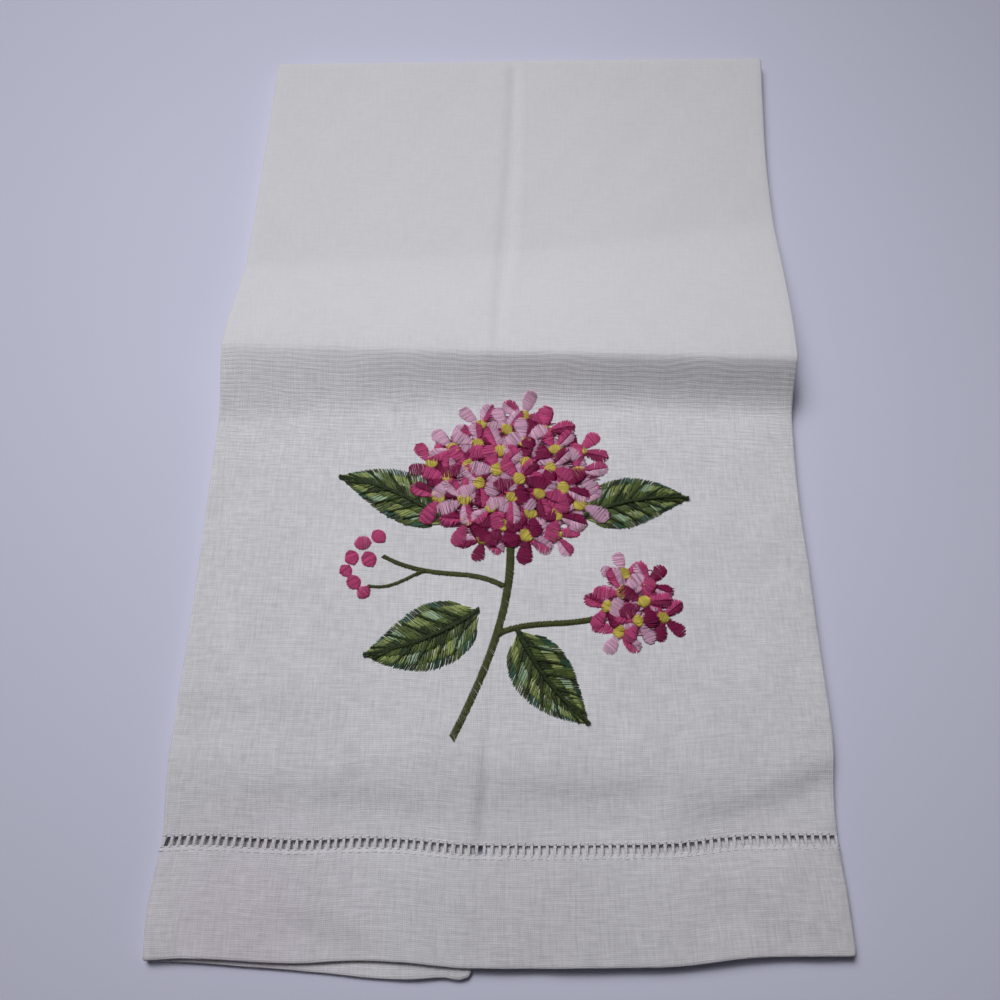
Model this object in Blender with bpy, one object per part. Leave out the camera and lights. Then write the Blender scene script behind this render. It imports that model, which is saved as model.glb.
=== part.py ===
"""A hemstitched linen guest towel, folded and laid out, as one solid of cloth.

Both long sides are folded behind and meet near the middle. The far end is then folded down
behind as well, so that four layers lie on each other. An old pressed fold across the cloth
stands up as a low ridge, and the hem hangs a little past the end of the layers under it.

Axes: +X to the right across the cloth, +Y from the front hem to the top fold, +Z up.
Sizes are in millimetres until build_mesh() turns them into metres.
"""

import math

import bpy

MM = 0.001

# The cloth as it was cut, hems finished, and as it lies folded
CUT_WIDTH = 356.0
CUT_LENGTH = 559.0
FOLDED_WIDTH = CUT_WIDTH / 2
FRONT_LENGTH = 297.2
RIDGE_TAKE_UP = 3.5
SIDE_LEAN = 0.0249
BACK_INSET = 0.8

# The cloth's thickness and the air between its layers
CLOTH = 1.0
LAYER_GAP = 0.5
LAYER_PITCH = CLOTH + LAYER_GAP
HEM_EXTRA_OUTSIDE = 0.2
HEM_EXTRA_INSIDE = 0.05
LADDER_DEPTH = 0.2

# Heights of the face layer's middle, and the turn at the top fold
BACK_HEIGHT = CLOTH / 2
FRONT_HEIGHT = BACK_HEIGHT + 3 * LAYER_PITCH
HEM_HEIGHT = 3.4
TURN_RADIUS = (FRONT_HEIGHT - BACK_HEIGHT) / 2
TURN_HEIGHT = (FRONT_HEIGHT + BACK_HEIGHT) / 2
BACK_LENGTH = CUT_LENGTH - FRONT_LENGTH - RIDGE_TAKE_UP - math.pi * TURN_RADIUS
BACK_END = FRONT_LENGTH - BACK_LENGTH

# The hem, and the hemstitched ladder above it
HEM_DEPTH = 26.3
LADDER_AT = 27.8
LADDER_WIDTH = 2.4
GROOVE_EASE = 0.3
HEM_EDGE = 2.0

# The soft step where the hem end sinks past the layers under it
STEP_FROM = BACK_END + 1.0
STEP_TO = 27.0

# How far up the cloth the uneven hem line still shows
BOW_FULL = 30.0
BOW_GONE = 100.0
LIFT_GONE = 45.0
FLAP_BOW_GONE = 120.0

# The gap between the two turned-in sides
SEAM_GAP = 2.4

# The pressed fold that stands up as a ridge
CREST_AT = 170.0
CREST_SLANT = -0.0265
TOP_SLANT = 0.0163
FOOT_EASE = 1.5

# Where the side folds lie, out from a straight line through the corners
SIDES = (
    # y, left, right
    (0.0, 0.0, 0.0),
    (13.0, -0.9, -0.4),
    (29.0, -0.2, -1.2),
    (41.0, -1.0, -0.8),
    (55.0, -1.4, 0.0),
    (81.0, -1.1, -1.0),
    (105.0, -1.2, -1.8),
    (130.0, -1.3, -2.7),
    (152.0, -1.2, -2.3),
    (170.0, -1.5, -2.0),
    (190.0, -1.3, -1.5),
    (215.0, -0.5, -1.4),
    (250.0, -0.2, -2.0),
    (280.0, 0.0, -0.9),
    (300.0, 0.0, 0.1),
)

# The line between the turned-in sides, measured from the middle of the folded cloth
SEAM = (
    # y, x
    (0.0, -6.0),
    (60.0, -5.2),
    (175.0, -5.8),
    (215.0, -5.0),
    (255.0, -3.6),
    (300.0, -3.3),
)

# The front hem's edge: bow is its shift along Y, lift is its extra height
HEM_LINE = (
    # x, bow, lift
    (-89.0, -0.1, 0.1),
    (-78.0, 0.3, 0.3),
    (-52.0, -0.8, 0.1),
    (-36.0, -0.2, 0.5),
    (-24.0, -0.6, 0.5),
    (-8.0, -1.9, 0.1),
    (38.0, -1.7, 0.0),
    (48.0, -1.2, 0.2),
    (61.0, 0.3, 0.7),
    (72.0, 0.7, 0.8),
    (89.0, 0.8, 0.4),
)

# The turned-in left side's hem, which slipped down and shows under the front hem
LEFT_FLAP_LINE = (
    # x, bow
    (-89.0, -0.3),
    (-78.0, -1.4),
    (-63.0, -1.9),
    (-43.0, -3.0),
    (-24.0, -4.4),
    (-7.0, -3.6),
)

# The turned-in right side stays back, out of sight
RIGHT_FLAP_BOW = 1.5

# The ridge's section at the left side, the middle and the right side
RIDGE = (
    # across, height, front run, front crest, back run, back crest
    (-1.0, 8.8, 28.0, 1.6, 25.0, 1.8),
    (0.0, 8.6, 19.0, 1.5, 38.0, 1.4),
    (1.0, 9.0, 13.5, 1.35, 58.0, 1.15),
)

# How finely the cloth is divided
HALF_STEPS = 6
BEND_STEPS = 4
TURN_STEPS = 6
BACK_STEPS = 11
RIDGE_STEPS = 9
RIDGE_FRONT_REACH = 29.0
RIDGE_BACK_REACH = 60.0

LINEN = (0.80, 0.79, 0.77, 1.0)


def clear_scene():
    for item in list(bpy.data.objects):
        bpy.data.objects.remove(item, do_unlink=True)


def smooth(t):
    """From 0 to 1 with level ends."""
    t = min(1.0, max(0.0, t))
    return t * t * (3 - 2 * t)


def lookup(table, place, column):
    """A table's column at a place between its rows, on a smooth curve through the rows."""
    last = len(table) - 1
    place = min(table[last][0], max(table[0][0], place))
    row = 0
    while row < last - 1 and table[row + 1][0] < place:
        row += 1
    start, end = table[row][0], table[row + 1][0]
    before, after = table[max(0, row - 1)], table[min(last, row + 2)]
    low, high = table[row][column], table[row + 1][column]
    slope_low = (high - before[column]) / (end - before[0])
    slope_high = (after[column] - low) / (after[0] - start)
    span = end - start
    t = (place - start) / span
    return (
        (2 * t**3 - 3 * t**2 + 1) * low
        + (t**3 - 2 * t**2 + t) * span * slope_low
        + (3 * t**2 - 2 * t**3) * high
        + (t**3 - t**2) * span * slope_high
    )


def side_lines(y):
    """Where the left and right side folds are, at a place up the cloth."""
    middle = SIDE_LEAN * y
    left = middle - FOLDED_WIDTH / 2 + lookup(SIDES, y, 1)
    right = middle + FOLDED_WIDTH / 2 + lookup(SIDES, y, 2)
    return left, right


def ridge_height(across, past_crest):
    """The ridge's height over the flat cloth, past_crest being positive towards the top fold."""
    run, crest = (2, 3) if past_crest < 0 else (4, 5)
    t = abs(past_crest) / lookup(RIDGE, across, run)
    if t >= 1:
        return 0.0
    return lookup(RIDGE, across, 1) * (1 - t ** lookup(RIDGE, across, crest)) ** FOOT_EASE


def face_height(x, y):
    """The height of the face layer's middle over the table."""
    left, right = side_lines(y)
    across = 2 * (x - left) / (right - left) - 1
    step = smooth((STEP_FROM - y) / (STEP_FROM - STEP_TO))
    lift = lookup(HEM_LINE, x, 2) * (1 - smooth(y / LIFT_GONE))
    ridge = ridge_height(across, y - CREST_AT - CREST_SLANT * x)
    return FRONT_HEIGHT - (FRONT_HEIGHT - HEM_HEIGHT) * step + lift + ridge


def row_shift(row, x, layer):
    """How far a row across the cloth is shifted along Y, because hem, ridge and top aren't square."""
    crest = CREST_SLANT * x
    top = TOP_SLANT * x
    if row > CREST_AT:
        return crest + (top - crest) * (row - CREST_AT) / (FRONT_LENGTH - CREST_AT)
    if layer == "left":
        bow = lookup(LEFT_FLAP_LINE, x, 1)
        fade = 1 - smooth(row / FLAP_BOW_GONE)
    elif layer == "right":
        bow = RIGHT_FLAP_BOW
        fade = 1 - smooth(row / FLAP_BOW_GONE)
    else:
        bow = lookup(HEM_LINE, x, 1)
        fade = 1 - smooth((row - BOW_FULL) / (BOW_GONE - BOW_FULL))
    return bow * fade + crest * smooth(row / CREST_AT)


def side_depths(row):
    """How far the cloth's outer and inner sides are from its middle: the hem is thicker than the
    cloth, and the drawn-thread ladder is a shallow groove."""
    if row < HEM_DEPTH:
        return CLOTH / 2 + HEM_EXTRA_OUTSIDE, CLOTH / 2 + HEM_EXTRA_INSIDE
    if abs(row - LADDER_AT) < LADDER_WIDTH / 2:
        return CLOTH / 2 - LADDER_DEPTH, CLOTH / 2
    return CLOTH / 2, CLOTH / 2


def front_rows():
    """Rows across the front half, from the hem to the top fold, close together on the ridge."""
    ladder_low = LADDER_AT - LADDER_WIDTH / 2
    ladder_high = LADDER_AT + LADDER_WIDTH / 2
    rows = [0.0, HEM_EDGE, HEM_DEPTH / 2, HEM_DEPTH - GROOVE_EASE]
    rows += [ladder_low + GROOVE_EASE, ladder_high - GROOVE_EASE]
    rows += spaced(ladder_high + GROOVE_EASE, STEP_FROM, 4)
    rows += spaced(STEP_FROM, CREST_AT - RIDGE_FRONT_REACH, 5)[1:]
    for step in range(RIDGE_STEPS - 1, 0, -1):
        rows.append(CREST_AT - RIDGE_FRONT_REACH * (step / RIDGE_STEPS) ** 1.5)
    for step in range(RIDGE_STEPS + 1):
        rows.append(CREST_AT + RIDGE_BACK_REACH * (step / RIDGE_STEPS) ** 1.6)
    rows += spaced(rows[-1], FRONT_LENGTH, 4)[1:]
    return rows


def spaced(start, end, steps):
    """Evenly spaced places from start to end, with both."""
    return [start + (end - start) * step / steps for step in range(steps + 1)]


def section(row, inset):
    """The folded cloth's section at a row: for each point its layer, x, the depth of the cloth's
    middle below the face, and the direction out of the outer side, as (x, upward)."""
    radius = LAYER_PITCH / 2
    margin = radius + side_depths(row)[0] + inset
    left, right = side_lines(row)
    seam = (left + right) / 2 + lookup(SEAM, row, 1)
    bend_left = left + margin
    bend_right = right - margin
    below, above = (0.0, -1.0), (0.0, 1.0)

    points = []
    for x in spaced(seam - SEAM_GAP / 2, bend_left, HALF_STEPS):
        points.append(("left", x, -LAYER_PITCH, below))
    for angle in bend_angles():
        out = (-math.sin(angle), -math.cos(angle))
        layer = "left" if angle < math.pi / 2 else "face"
        points.append((layer, bend_left + radius * out[0], radius * (out[1] - 1), out))
    for x in spaced(bend_left, seam, HALF_STEPS) + spaced(seam, bend_right, HALF_STEPS)[1:]:
        points.append(("face", x, 0.0, above))
    for angle in bend_angles():
        out = (math.sin(angle), math.cos(angle))
        layer = "right" if angle > math.pi / 2 else "face"
        points.append((layer, bend_right + radius * out[0], radius * (out[1] - 1), out))
    for x in spaced(bend_right, seam + SEAM_GAP / 2, HALF_STEPS):
        points.append(("right", x, -LAYER_PITCH, below))
    return points


def bend_angles():
    return spaced(0.0, math.pi, BEND_STEPS)[1:-1]


def front_frame(row, x, layer):
    """The face layer's middle at a row of the front half, and its upward direction, in Y and Z."""
    y = row + row_shift(row, x, layer)
    reach = 0.25
    rise = (face_height(x, y + reach) - face_height(x, y - reach)) / (2 * reach)
    length = math.hypot(1.0, rise)
    return y, face_height(x, y), -rise / length, 1 / length


def turn_frame(angle, x):
    """The same on the turn at the top fold."""
    y = FRONT_LENGTH + TOP_SLANT * x
    up, out = math.cos(angle), math.sin(angle)
    return y + TURN_RADIUS * out, TURN_HEIGHT + TURN_RADIUS * up, out, up


def back_frame(share, x):
    """The same on the back half, which lies upside down on the table."""
    start = FRONT_LENGTH + TOP_SLANT * x
    return start + (BACK_END - start) * share, BACK_HEIGHT, 0.0, -1.0


def stations():
    """Every place along the cloth where its section is set: the row that the section is like,
    how far its sides are drawn in, and the frame that it is set in."""
    places = []
    for row in front_rows():
        places.append((row, 0.0, lambda x, layer, row=row: front_frame(row, x, layer)))
    for angle in spaced(0.0, math.pi, TURN_STEPS)[1:]:
        inset = BACK_INSET * angle / math.pi
        places.append((FRONT_LENGTH, inset, lambda x, layer, angle=angle: turn_frame(angle, x)))
    for share in spaced(0.0, 1.0, BACK_STEPS)[1:]:
        row = FRONT_LENGTH + (BACK_END - FRONT_LENGTH) * share
        places.append((row, BACK_INSET, lambda x, layer, share=share: back_frame(share, x)))
    return places


def cloth_rings():
    """For each station, the ring of points round the section: outer side first, then inner."""
    rings = []
    for row, inset, frame in stations():
        outside, inside = side_depths(row)
        outer, inner = [], []
        for layer, x, depth, out in section(row, inset):
            y, z, up_y, up_z = frame(x, layer)
            for side, line in ((outside, outer), (-inside, inner)):
                reach = depth + side * out[1]
                line.append((x + side * out[0], y + reach * up_y, z + reach * up_z))
        rings.append(outer + inner[::-1])
    return rings


def build_mesh(name, rings):
    """One closed solid from the rings, its box's middle over the origin and its base at zero."""
    count = len(rings[0])
    points = [point for ring in rings for point in ring]
    middle_x = (min(p[0] for p in points) + max(p[0] for p in points)) / 2
    middle_y = (min(p[1] for p in points) + max(p[1] for p in points)) / 2
    base = min(p[2] for p in points)
    verts = [((x - middle_x) * MM, (y - middle_y) * MM, (z - base) * MM) for x, y, z in points]

    faces = []
    for ring in range(len(rings) - 1):
        for place in range(count):
            after = (place + 1) % count
            a, b = ring * count + place, ring * count + after
            faces.append((a, b, b + count, a + count))
    last = (len(rings) - 1) * count
    for place in range(count // 2 - 1):
        far = count - 1 - place
        faces.append((place, far, far - 1, place + 1))
        faces.append((last + place, last + place + 1, last + far - 1, last + far))

    mesh = bpy.data.meshes.new(name)
    mesh.from_pydata(verts, [], faces)
    mesh.validate()
    mesh.shade_smooth()
    mesh.set_sharp_from_angle(angle=math.radians(50))
    return mesh


def linen_material():
    material = bpy.data.materials.new("linen")
    material.use_nodes = True
    shader = material.node_tree.nodes["Principled BSDF"]
    shader.inputs["Base Color"].default_value = LINEN
    shader.inputs["Roughness"].default_value = 0.9
    shader.inputs["Metallic"].default_value = 0.0
    return material


def build_towel():
    mesh = build_mesh("towel", cloth_rings())
    mesh.materials.append(linen_material())
    towel = bpy.data.objects.new("towel", mesh)
    bpy.context.scene.collection.objects.link(towel)
    return towel


clear_scene()
build_towel()
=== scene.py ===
"""The looks of a folded linen guest towel: fine plain weave, a drawn-thread ladder above its hem
and an embroidered posy.

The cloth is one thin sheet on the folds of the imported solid. Its shape is worked out in
millimetres, x across the cloth from the middle of the front hem, y up the cloth and z up from
the table, and place() turns that into the frame's metres.
"""

import math

import bpy
import numpy as np
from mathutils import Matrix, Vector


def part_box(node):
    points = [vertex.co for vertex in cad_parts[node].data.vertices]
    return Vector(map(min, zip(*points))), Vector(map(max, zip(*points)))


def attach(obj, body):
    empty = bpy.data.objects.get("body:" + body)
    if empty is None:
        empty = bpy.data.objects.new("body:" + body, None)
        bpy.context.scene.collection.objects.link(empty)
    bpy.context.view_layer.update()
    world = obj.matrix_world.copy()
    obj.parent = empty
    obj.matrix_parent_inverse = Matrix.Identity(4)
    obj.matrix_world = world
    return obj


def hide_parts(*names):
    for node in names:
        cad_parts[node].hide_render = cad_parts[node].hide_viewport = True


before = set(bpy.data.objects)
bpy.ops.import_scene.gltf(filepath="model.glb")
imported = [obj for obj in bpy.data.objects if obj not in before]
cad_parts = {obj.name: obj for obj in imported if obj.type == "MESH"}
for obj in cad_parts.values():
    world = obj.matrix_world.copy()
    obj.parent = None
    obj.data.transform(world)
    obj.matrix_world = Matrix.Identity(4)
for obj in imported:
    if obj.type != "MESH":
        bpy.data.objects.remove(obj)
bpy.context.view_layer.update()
towel_low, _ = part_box("towel")

MM = 0.001
rng = np.random.default_rng(11)

# The middle of the front hem, found from the corner of the solid's box
LEFT_REACH = 89.573
FLAP_REACH = 4.378
HEM_MIDDLE = (towel_low.x / MM + LEFT_REACH, towel_low.y / MM + FLAP_REACH)

# The cloth as it was cut, and as it lies folded
CUT_WIDTH = 356.0
FOLDED_WIDTH = CUT_WIDTH / 2
FRONT_LENGTH = 297.2
BACK_END = 49.6
SIDE_LEAN = 0.0249
BACK_INSET = 0.8

# Thicknesses, and the heights of the layers' middles
CLOTH = 0.6
LAYER_PITCH = 1.2
BEND_RADIUS = LAYER_PITCH / 2
HEM_OUTSIDE = 0.55
HEM_INSIDE = 0.45
DRAWN_SHARE = 0.55
BACK_HEIGHT = CLOTH / 2
FRONT_HEIGHT = 5.0
HEM_HEIGHT = 2.7
TURN_RADIUS = (FRONT_HEIGHT - BACK_HEIGHT) / 2
TURN_HEIGHT = (FRONT_HEIGHT + BACK_HEIGHT) / 2

# How far the turned-in sides sag under the face near the hem. The right one sags from the first
# value to the second across the cloth.
LEFT_SAG = 0.6
RIGHT_SAG = (0.3, 1.0)
RIGHT_SAG_FROM = 25.0
SAG_UPTO = 32.0
SAG_FADE = 14.0

# The hem, and the drawn-thread ladder above it
HEM_DEPTH = 26.3
LADDER_AT = 27.8
LADDER_HALF = 1.2
FACE_CELLS = 86
FLAP_CELLS = 42
HOLE_SHARE = 0.62
HOLE_HEIGHT_SHARE = 0.9
HOLE_ROUNDING = (0.04, 0.03)
HOLE_UNEVENNESS = 0.035
RUNG_LEAN = 0.2
LEANING_RUNGS = 14

# Where the face comes down past the back half's end
STEP_FROM = BACK_END + 1.0
STEP_TO = 27.0

# How far up the cloth the uneven hem line still shows
BOW_FULL = 30.0
BOW_GONE = 100.0
LIFT_GONE = 45.0
FLAP_BOW_GONE = 120.0

# The gap between the turned-in sides, the rolled hems along them, and the rounding of the edges
SEAM_GAP = 2.4
LEFT_SIDE_HEM = 6.8
RIGHT_SIDE_HEM = 4.6
SIDE_HEM_EXTRA = 0.22
SIDE_HEM_BLEND = 1.2
SIDE_HEM_NOSE = (0.0, 0.35, 0.9)
HEM_NOSE = 0.6
LEAST_NOSE = 0.12

# The pressed fold that stands up as a ridge
CREST_AT = 169.5
CREST_SLANT = -0.032
TOP_SLANT = 0.0163
TAIL_RUN = 95.0
CREST_ROUNDING = 1.4
BACK_EASE = 1.3

# Where the side folds lie, out from a straight line through the corners
SIDES = (
    # y, left, right
    (0.0, -0.9, 0.9),
    (13.0, -1.7, 0.4),
    (29.0, -0.6, -0.6),
    (41.0, -1.1, -0.5),
    (55.0, -1.4, 0.0),
    (81.0, -1.1, -1.0),
    (105.0, -1.2, -1.8),
    (130.0, -1.3, -2.7),
    (152.0, -1.2, -2.3),
    (170.0, -1.5, -2.0),
    (190.0, -1.3, -1.5),
    (215.0, -0.5, -1.4),
    (250.0, -0.2, -2.0),
    (280.0, 0.0, -0.9),
    (300.0, 0.0, 0.1),
)

# The line between the turned-in sides, measured from the middle of the folded cloth
SEAM = (
    # y, x
    (0.0, -6.0),
    (60.0, -5.2),
    (175.0, -5.8),
    (215.0, -5.0),
    (255.0, -3.6),
    (300.0, -3.3),
)

# The front hem's edge: bow is its shift along Y, lift is its extra height
HEM_LINE = (
    # x, bow, lift
    (-89.0, -0.1, 0.2),
    (-78.0, 0.3, 0.4),
    (-52.0, -0.8, 0.4),
    (-36.0, -0.2, 0.8),
    (-24.0, -0.6, 0.9),
    (-8.0, -1.9, 0.8),
    (38.0, -1.7, 0.9),
    (48.0, -1.2, 1.0),
    (61.0, 0.3, 1.2),
    (72.0, 0.7, 1.2),
    (89.0, 0.8, 0.6),
)

# The turned-in left side's hem, which slipped down and shows under the front hem
LEFT_FLAP_LINE = (
    # x, bow
    (-89.0, -0.5),
    (-78.0, -0.7),
    (-63.0, -1.7),
    (-43.0, -3.0),
    (-24.0, -4.5),
    (-14.0, -4.1),
    (-11.0, -4.6),
    (-9.0, -4.5),
    (-8.0, -4.0),
    (-7.2, -2.9),
)

# How much further the left side slipped above its hem, and how far up the right side was pulled
LEFT_FLAP_SLIP = -2.6
RIGHT_FLAP_BOW = 5.0

# The ridge's section at the left side, the middle and the right side. The tail is the share of
# the height that runs out slowly towards the hem.
RIDGE = (
    # across, height, tail share, front run, front ease, back run
    (-1.0, 8.8, 0.30, 24.0, 1.6, 36.0),
    (0.0, 9.4, 0.12, 17.8, 2.5, 44.0),
    (1.0, 10.8, 0.0, 17.0, 2.5, 60.0),
)

# Soft steps in the face, each along a shallow arc: the cloth drops below the arc and rises again
SOFT_STEPS = (
    # x from, y from, x mid, y mid, x to, y to, drop from, drop to, width, recovery
    (-96.0, 65.0, -66.0, 63.5, -38.0, 60.5, 0.65, 0.50, 6.0, 18.0),
    (-74.0, 42.0, -40.0, 39.5, -8.0, 37.0, 0.75, 0.60, 7.0, 14.0),
    (-8.0, 45.5, 19.0, 40.7, 50.0, 44.0, 0.80, 0.60, 5.0, 15.0),
    (44.0, 35.0, 74.0, 40.7, 100.0, 53.0, 0.60, 1.75, 7.0, 15.0),
    (-66.0, 14.5, -42.0, 6.8, -22.0, 1.5, 0.80, 0.95, 6.0, 9.0),
    (-2.0, 21.0, 8.0, 8.0, 15.0, -2.0, 0.45, 0.45, 7.0, 10.0),
    (46.0, 21.5, 64.0, 12.5, 82.0, 3.0, 0.60, 0.60, 7.0, 10.0),
)
STEP_FADE = 0.3

# The pressed line along the middle, over the gap between the turned-in sides. Its tone is painted
# shade: the shaded gap seen through a single layer of thin cloth
DARK_LINE = (
    # y, x, depth, painted shade
    (0.0, -6.4, 0.05, 0.0),
    (24.0, -5.9, 0.20, -0.05),
    (31.0, -5.0, 0.60, -0.12),
    (38.0, -4.5, 0.80, -0.16),
    (54.0, -4.0, 0.28, -0.06),
    (64.5, -3.5, 0.16, -0.03),
    (120.0, -2.6, 0.06, -0.01),
    (150.0, -2.0, 0.08, -0.02),
    (174.0, -1.8, 0.20, -0.05),
    (214.0, 0.0, 0.20, -0.06),
    (257.0, 2.8, 0.20, -0.06),
    (300.0, 4.2, 0.20, -0.07),
)
DARK_LINE_WIDTH = 1.5

# The rolled hem of the right side, which shows through beside it
LIGHT_LINE = (
    # y, x, height, tone
    (0.0, -2.0, 0.0, 0.0),
    (160.0, 1.0, 0.0, 0.0),
    (180.0, 1.6, 0.04, 0.01),
    (194.0, 2.6, 0.10, 0.03),
    (218.0, 5.2, 0.12, 0.04),
    (275.0, 7.2, 0.12, 0.04),
    (300.0, 7.6, 0.12, 0.04),
)
LIGHT_LINE_WIDTH = 2.0

# Slow unevenness of cloth that was pressed and then lay about
WAVES = (
    # height, length across, length along, phase
    (0.16, 37.0, 51.0, 0.6),
    (0.10, 23.0, -31.0, 2.1),
    (0.06, -13.0, 19.0, 4.0),
    (0.06, 6.1, 9.3, 1.0),
    (0.04, -4.9, 7.1, 3.0),
)

# The linen's yarns, and how many yarns' widths they stray to the side. Noise is stretched by
# factors across and along the cloth, and the slubs' factors are the warp's.
LINEN = (0.80, 0.803, 0.818)
YARN = 0.5
YARN_RELIEF = 0.00018
OVER_UNDER = 0.3
WARP_WANDER = 3.0
WEFT_WANDER = 7.0
WARP_BENDS = (0.08, 0.035, 1.0)
WEFT_BENDS = (0.035, 0.08, 1.0)
SLUBS = (1.9, 0.09, 1.0)
SHORT_SLUBS = (1.1, 0.24, 1.0)
MOTTLE = (0.06, 0.06, 1.0)

# The row whose widths the weave is laid out by
PATTERN_ROW = 229.5

# How much the yarns' height, both kinds of slubs and the mottle tell in the colour, and what keeps the
# mean colour as it is. The height's share is painted shade, darker between the yarns, and the mottle is
# painted shade as of small soft creases; the slubs are the yarns' own uneven tone.
HEIGHT_PAINTED_SHADE = 0.20
SLUB_TONE = 0.28
SHORT_TONE = 0.26
MOTTLE_PAINTED_SHADE = 0.16
TONE_SHIFT = -0.67

# Beyond the ridge the cloth was pressed smooth, and its weave shows less
PRESSED_FROM = 150.0
PRESSED_FADE = 30.0
PRESSED_WEAVE = 0.25

# Fine wavy lines along the weft on the ridge's front, as relief, with painted shade that darkens their
# hollows and lightens their crests
RIB_PITCH = 1.25
RIB_WANDER = 5.0
RIB_BENDS = (0.03, 0.05, 1.0)
RIB_RELIEF = 0.18
RIB_PAINTED_SHADE = 0.018
RIBS_FROM = 118.0
RIBS_FULL = 142.0
RIBS_UPTO = 169.0
RIBS_GONE = 173.0

# Twisted thread: its plies, the grooves between them and its fibres. The grooves are darkened with
# painted shade and the plies' crests lightened
PLY_RELIEF = 0.00004
PLY_PAINTED_LIGHT = 0.16
GROOVE_PAINTED_SHADE = 0.80
FIBRES = (1.2, 5.0, 1.0)
FIBRE_TONE = 0.18

# Places where the cloth is faintly discoloured mauve, and painted shade that makes the hem darker where
# less light reaches it
TINTS_AND_SHADE = (
    # x, y, reach, red, green, blue
    (-66.0, 8.0, 28.0, 0.97, 0.905, 0.95),
    (-46.0, 4.0, 12.0, 0.96, 0.96, 0.96),
    (8.0, 9.0, 34.0, 0.93, 0.91, 0.92),
    (30.0, 4.0, 14.0, 0.97, 0.97, 0.98),
    (72.0, 10.0, 28.0, 0.965, 0.93, 0.95),
)

# How finely the cloth is divided. The pressed line has an extra column in each of its cells.
BEND_STEPS = 6
TURN_STEPS = 10
BACK_STEPS = 42
CREASE_LEFT = -10.0
CREASE_RIGHT = 5.5
EDGE_ROWS = (0.0, 0.15, 0.45, 0.9)
HEM_ROWS = (2.0, HEM_DEPTH - 1.2, 12)
LAST_HEM_ROW = HEM_DEPTH - 0.4
ROW_ABOVE_LADDER = LADDER_AT + LADDER_HALF + 0.7
BODY_ROWS = (
    # from, to, steps
    (31.0, 53.0, 14),
    (53.0, 138.0, 38),
    (138.0, 176.0, 44),
    (176.0, 232.0, 30),
    (232.0, FRONT_LENGTH, 24),
)


def smooth(t):
    """From 0 to 1 with level ends."""
    t = np.clip(t, 0.0, 1.0)
    return t * t * (3 - 2 * t)


def lookup(table, where, column):
    """A table's column at places between its rows, on a smooth curve through the rows."""
    rows = np.array(table, float)
    keys, values = rows[:, 0], rows[:, column]
    last = len(keys) - 1
    where = np.clip(where, keys[0], keys[-1])
    row = np.clip(np.searchsorted(keys, where, side="left") - 1, 0, last - 1)
    before = np.maximum(row - 1, 0)
    after = np.minimum(row + 2, last)
    span = keys[row + 1] - keys[row]
    t = (where - keys[row]) / span
    low, high = values[row], values[row + 1]
    slope_low = (high - values[before]) / (keys[row + 1] - keys[before])
    slope_high = (values[after] - low) / (keys[after] - keys[row])
    return (
        (2 * t**3 - 3 * t**2 + 1) * low
        + (t**3 - 2 * t**2 + t) * span * slope_low
        + (3 * t**2 - 2 * t**3) * high
        + (t**3 - t**2) * span * slope_high
    )


def side_lines(y):
    """Where the left and right side folds are, at a place up the cloth."""
    middle = SIDE_LEAN * y
    left = middle - FOLDED_WIDTH / 2 + lookup(SIDES, y, 1)
    right = middle + FOLDED_WIDTH / 2 + lookup(SIDES, y, 2)
    return left, right


def ridge_height(across, past_crest):
    """The ridge's height over the flat cloth, past_crest being positive towards the top fold."""
    height, tail, run, ease, back_run = (lookup(RIDGE, across, column) for column in range(1, 6))
    back = np.clip(past_crest / back_run, 0.0, 1.0)
    behind = (1 - back**CREST_ROUNDING) ** BACK_EASE
    steep = np.clip(-past_crest / run, 0.0, 1.0)
    slow = np.clip(-past_crest / TAIL_RUN, 0.0, 1.0)
    before = (1 - tail) * (1 - steep**CREST_ROUNDING) ** ease + tail * (1 - slow) ** 2
    return height * np.where(past_crest < 0, before, behind)


def soft_steps(x, y):
    """The height that the soft steps take from the face."""
    total = np.zeros(np.broadcast(x, y).shape)
    for x0, y0, x1, y1, x2, y2, drop0, drop1, width, recovery in SOFT_STEPS:
        bend = ((y2 - y0) * (x1 - x0) / (x2 - x0) + y0 - y1) / ((x1 - x0) * (x1 - x2))
        chord = (y2 - y0) / (x2 - x0)
        line = y0 + chord * (x - x0) - bend * (x - x0) * (x - x2)
        below = (line - y) / math.hypot(1.0, chord)
        along = np.clip((x - x0) / (x2 - x0), 0.0, 1.0)
        ends = smooth(along / STEP_FADE) * smooth((1 - along) / STEP_FADE)
        fall = smooth(below / width + 0.5) - smooth((below - width / 2) / recovery)
        total = total + fall * ends * (drop0 + (drop1 - drop0) * along)
    return total


def pressed_lines_and_shade(x, y, column):
    """The middle line and the rolled hem beside it, as heights (column 2) or tones (column 3). The
    middle line's tone is painted shade.
    """
    dark = np.exp(-(((x - lookup(DARK_LINE, y, 1)) / DARK_LINE_WIDTH) ** 2))
    light = np.exp(-(((x - lookup(LIGHT_LINE, y, 1)) / LIGHT_LINE_WIDTH) ** 4))
    sign = -1.0 if column == 2 else 1.0
    return sign * dark * lookup(DARK_LINE, y, column) + light * lookup(LIGHT_LINE, y, column)


def waves(x, y):
    """The slight unevenness of the whole face."""
    total = 0.0
    for height, across, along, phase in WAVES:
        total = total + height * np.sin(x / across * 2 + phase) * np.sin(y / along * 2 + 2 * phase)
    return total


def face_height(x, y):
    """The height of the face layer's middle over the table."""
    left, right = side_lines(y)
    across = 2 * (x - left) / (right - left) - 1
    step = smooth((STEP_FROM - y) / (STEP_FROM - STEP_TO))
    lift = lookup(HEM_LINE, x, 2) * (1 - smooth(y / LIFT_GONE))
    ridge = ridge_height(across, y - CREST_AT - CREST_SLANT * x)
    level = FRONT_HEIGHT - (FRONT_HEIGHT - HEM_HEIGHT) * step + lift + ridge
    return level - soft_steps(x, y) + pressed_lines_and_shade(x, y, 2) + waves(x, y)


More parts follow.
